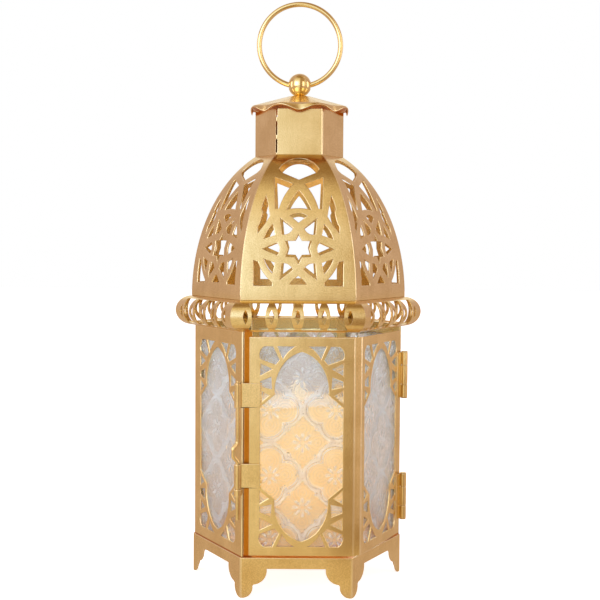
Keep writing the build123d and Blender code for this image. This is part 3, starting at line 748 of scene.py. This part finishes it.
def wax_profile(turn):
    """Outline of the wax at one turn round the candle, as radius and height: wall, melted rim, dished
    top, wick hole and bore."""
    low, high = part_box("candle_shell")
    core_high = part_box("candle_core")[1]
    radius = high.x
    bore = core_high.x + SEAT_PLAY
    ceiling = core_high.z + SEAT_PLAY
    waves = (share * math.sin(count * turn + start) for count, share, start in WAX_WAVES)
    top = high.z - WAX_MELT * sum(waves, WAX_MELT_MIDDLE)
    lip = radius - WAX_RIM_ROUND
    profile = [(bore, low.z), (radius, low.z), (radius, top - WAX_RIM_ROUND)]
    for step in range(1, WAX_RIM_STEPS + 1):
        bend = math.pi / 2 * step / WAX_RIM_STEPS
        drop = WAX_RIM_ROUND * (1 - math.sin(bend))
        profile.append((lip + WAX_RIM_ROUND * math.cos(bend), top - drop))
    for step in range(1, WAX_DISH_STEPS + 1):
        share = step / WAX_DISH_STEPS
        dish = (high.z - WAX_DISH) * share + top * (1 - share)
        profile.append((lip + (WICK_HOLE - lip) * share, dish - WAX_DIP * math.sin(math.pi * share)))
    return profile + [(WICK_HOLE, ceiling), (bore, ceiling)]


def make_candle(finish):
    """Hollow wax pillar with a softly melted rim and a dished top."""
    shape = bmesh.new()
    rings = []
    for side in range(WAX_SIDES):
        turn = 2 * math.pi * side / WAX_SIDES
        profile = wax_profile(turn)
        rings.append([shape.verts.new((r * math.cos(turn), r * math.sin(turn), z)) for r, z in profile])
    for ring, after in zip(rings, rings[1:] + rings[:1]):
        for n in range(len(ring)):
            m = (n + 1) % len(ring)
            shape.faces.new((ring[n], after[n], after[m], ring[m]))
    bmesh.ops.recalc_face_normals(shape, faces=shape.faces)
    mesh = bpy.data.meshes.new("candle_wax")
    shape.to_mesh(mesh)
    shape.free()
    mesh.shade_smooth()
    mesh.set_sharp_from_angle(angle=EDGE_TURN)
    mesh.materials.append(finish)
    piece = new_piece("candle_wax", mesh)
    stand_for(piece, "candle_shell")


def bead_tree():
    """Row of lumpy weld beads from one point to another."""
    tree, board, given = new_tree("weld_beads", {
        "Start": "Vector", "End": "Vector", "Count": "Int", "Bead radius": "Float", "Wander": "Float",
        "Seed": "Int", "Finish": "Material"})
    row = board.node("GeometryNodeMeshLine", {"mode": "END_POINTS"}, {
        "Count": given.out("Count"), "Start Location": given.out("Start"), "Offset": given.out("End")})
    drift = board.node("FunctionNodeRandomValue", {"data_type": "FLOAT_VECTOR"}, {
        0: (-1.0, -1.0, -1.0), 1: (1.0, 1.0, 1.0), "Seed": given.out("Seed")})
    offset = board.node("ShaderNodeVectorMath", {"operation": "SCALE"}, {
        0: drift, "Scale": given.out("Wander")})
    rough_row = board.node("GeometryNodeSetPosition", None, {"Geometry": row, "Offset": offset})
    bead = board.node("GeometryNodeMeshIcoSphere", None, {
        "Radius": given.out("Bead radius"), "Subdivisions": BEAD_FINENESS})
    size = board.node("FunctionNodeRandomValue", {"data_type": "FLOAT_VECTOR"}, {
        0: BEAD_LEAST, 1: BEAD_MOST, "Seed": given.out("Seed") + BEAD_SIZE_SEED})
    beads = board.node("GeometryNodeInstanceOnPoints", None, {
        "Points": rough_row, "Instance": bead, "Scale": size})
    plain = board.node("GeometryNodeRealizeInstances", None, {"Geometry": beads})
    smooth = board.node("GeometryNodeSetShadeSmooth", None, {"Geometry": plain})
    finished = board.node("GeometryNodeSetMaterial", None, {
        "Geometry": smooth, "Material": given.out("Finish")})
    board.node("NodeGroupOutput", None, {"Geometry": finished})
    return tree


def make_welds(finish):
    """Runs a row of beads down the inner end of each latch strap, on the door's face."""
    tree = bead_tree()
    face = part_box("door_frame")[0].y
    for seed, (level, count) in enumerate(WELD_BEADS.items()):
        low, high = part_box("latch_" + level + "_strap")
        piece = grown("latch_" + level + "_weld", tree, {
            "Start": Vector((high.x, face, low.z + BEAD_RADIUS)),
            "End": Vector((high.x, face, high.z - BEAD_RADIUS)),
            "Count": count, "Bead radius": BEAD_RADIUS, "Wander": BEAD_WANDER, "Seed": seed,
            "Finish": finish})
        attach(piece, "door")


def dress_lantern():
    """Gives every piece its finish, and the seen ones their fine shape."""
    # Besides the plain gold: a lighter gold that paints a highlight on rounded edges, a polished gold, and a
    # darker gold that paints shade
    gold, edge_highlight_gold, polished, painted_shade_gold = [gold_paint(name, *mix) for name, mix in GOLD_PAINTS.items()]
    finishes = {
        "ball_finial": (polished,),
        "carry_ring": (polished,),
        "base_pan": (gold, painted_shade_gold, edge_highlight_gold),
        "body_wall": (gold, painted_shade_gold, edge_highlight_gold),
        "roof_cap": (gold, painted_shade_gold, edge_highlight_gold),
    }
    for node in nodes_in_slot["gold_paint"]:
        if node not in INSIDE_NODES:
            dressed(node, finishes.get(node, (gold, edge_highlight_gold)))
    coat(INSIDE_NODES, gold)
    make_panes(pressed_glass())
    make_candle(lit_wax())
    dressed("candle_flame", (flame_glow(),))
    coat(nodes_in_slot["lamp_plastic"], lamp_plastic())
    coat(nodes_in_slot["bright_steel"], bright_steel())
    make_welds(gold)


def make_floor():
    """Lays the paper under the lantern."""
    shape = bmesh.new()
    bmesh.ops.create_grid(shape, x_segments=FLOOR_CELLS, y_segments=FLOOR_CELLS, size=FLOOR_HALF)
    mesh = bpy.data.meshes.new("studio_floor")
    shape.to_mesh(mesh)
    shape.free()
    mesh.materials.append(studio_paper())
    new_piece("studio_floor", mesh)


def softbox(name, place, width):
    """Soft upright lamp that faces the lantern."""
    light = bpy.data.lights.new(name, "AREA")
    light.shape = "RECTANGLE"
    light.size = width
    light.size_y = LAMP_HEIGHT
    light.energy = LAMP_RADIANCE * math.pi * width * LAMP_HEIGHT
    light.color = LAMP_COLOUR
    lamp = new_piece(name, light)
    lamp.location = place
    lamp.rotation_euler = (LAMP_AIM - Vector(place)).to_track_quat("-Z", "Y").to_euler()
    lamp.visible_camera = False


def make_studio():
    """Room of soft colours, white to the eye, and four lamps."""
    world = bpy.data.worlds.new("studio")
    bpy.context.scene.world = world
    world.use_nodes = True
    board = Board(world.node_tree)
    toward = board.axes(board.node("ShaderNodeTexCoord").out("Generated"))
    x = toward.out("X")
    y = toward.out("Y")
    z = toward.out("Z")
    dim = board.ease(x, *ROOM_DIM_EDGES) * board.ease(x, *ROOM_RIGHT_EDGES)
    lit = board.ease(x, *ROOM_LIT_EDGES) * board.ease(x, *ROOM_LEFT_EDGES)
    lit_below = lit * board.ease(z, *ROOM_LIT_TOP_EDGES)
    front = board.tint(lit_below, board.tint(dim, ROOM_MID, ROOM_DIM), ROOM_LIT)
    aside = y + ROOM_SIDE_SLANT * board.math("ABSOLUTE", x)
    sides = board.tint(board.ease(aside, *ROOM_SIDE_EDGES), front, ROOM_SIDES)
    walls = board.tint(board.ease(y, *ROOM_BACK_EDGES), sides, ROOM_BACK)
    room = board.tint(board.ease(z, *ROOM_ZENITH_EDGES), walls, ROOM_ZENITH)
    path = board.node("ShaderNodeLightPath")
    past_glass = board.tint(board.ease(z, *GLASS_SEES_EDGES), GLASS_SEES_LOW, GLASS_SEES_HIGH)
    seen = board.tint(path.out("Is Transmission Ray"), room, past_glass)
    glow = board.node("ShaderNodeBackground", None, {
        "Color": board.tint(path.out("Is Camera Ray"), seen, WHITE), "Strength": 1.0})
    board.node("ShaderNodeOutputWorld", None, {"Surface": glow})
    for name, (place, width) in LAMPS.items():
        softbox(name, place, width)
    bpy.context.scene.view_settings.view_transform = "Standard"


def make_camera():
    """Stands the camera in front, dropped and rolled a little."""
    lens = bpy.data.cameras.new("photo_view")
    lens.sensor_width = SENSOR
    lens.lens = LENS
    lens.clip_start = CAMERA_NEAREST
    camera = new_piece("photo_view", lens)
    camera.location = CAMERA_PLACE
    tilt = Matrix.Rotation(math.pi / 2 - CAMERA_DROP, 3, "X")
    camera.rotation_euler = (tilt @ Matrix.Rotation(CAMERA_ROLL, 3, "Z")).to_euler()
    bpy.context.scene.camera = camera


make_camera()
make_studio()
make_floor()
dress_lantern()
